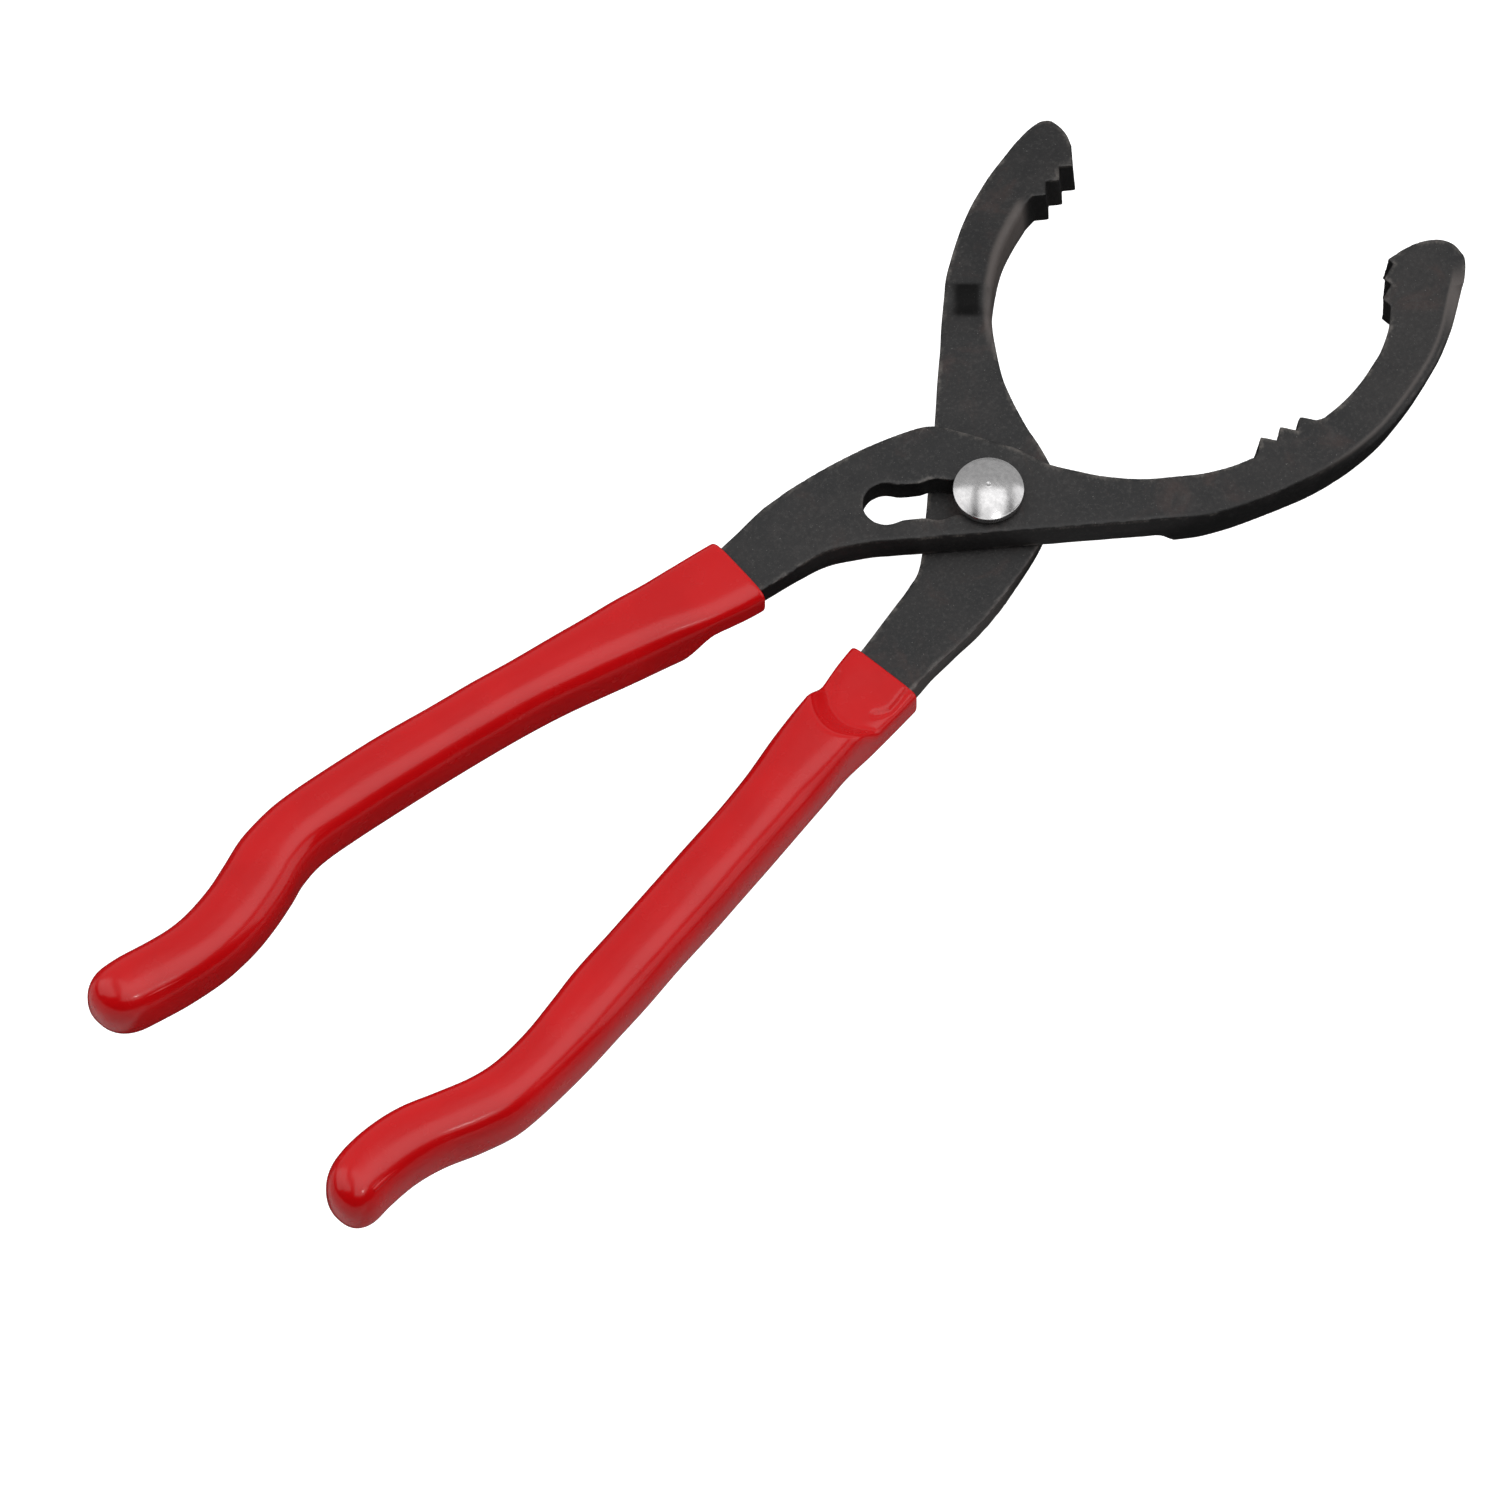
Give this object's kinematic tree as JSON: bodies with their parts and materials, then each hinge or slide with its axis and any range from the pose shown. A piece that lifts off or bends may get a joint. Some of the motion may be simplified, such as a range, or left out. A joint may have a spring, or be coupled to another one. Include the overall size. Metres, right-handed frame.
{
  "type": "oil filter wrench",
  "caption": "Slip-joint oil filter wrench in the form of pliers, with bent toothed jaws on a slotted pivot and vinyl-dipped handles.",
  "frame": {"origin": "centre of the flat crown of the pivot bolt's head, on the pivot axis, with the pivot in its first place", "axes": "+X from the handles to the jaws, +Y towards the slotted front lever's handle, +Z along the pivot axis towards the bolt's domed head"},
  "size_m": [0.3185, 0.1019, 0.0301],
  "materials": {
    "black_steel": "black-oxide forged steel, satin, slightly mottled, bright where the edges are worn",
    "red_vinyl": "glossy dipped red vinyl",
    "polished_steel": "polished, nickel-plated",
    "dark_hardware": "black oxide, semi-gloss"
  },
  "bodies": {
    "front": {"front_lever": "black_steel", "front_grip": "red_vinyl"},
    "carriage": {"flat_washer": "dark_hardware"},
    "rear": {"rear_lever": "black_steel", "rear_grip": "red_vinyl", "pivot_bolt": "polished_steel", "lock_washer": "dark_hardware", "pivot_nut": "dark_hardware"}
  },
  "joints": [
    {"name": "slot_slide", "type": "slide", "parent": "front", "child": "carriage", "axis": [-0.7694, 0.6388, 0], "range_m": [0, 0.0206]},
    {"name": "jaw_hinge", "type": "hinge", "parent": "carriage", "child": "rear", "pos_m": [0, 0, -0.0103], "axis": [0, 0, 1], "range_deg": [-10, 30]}
  ]
}
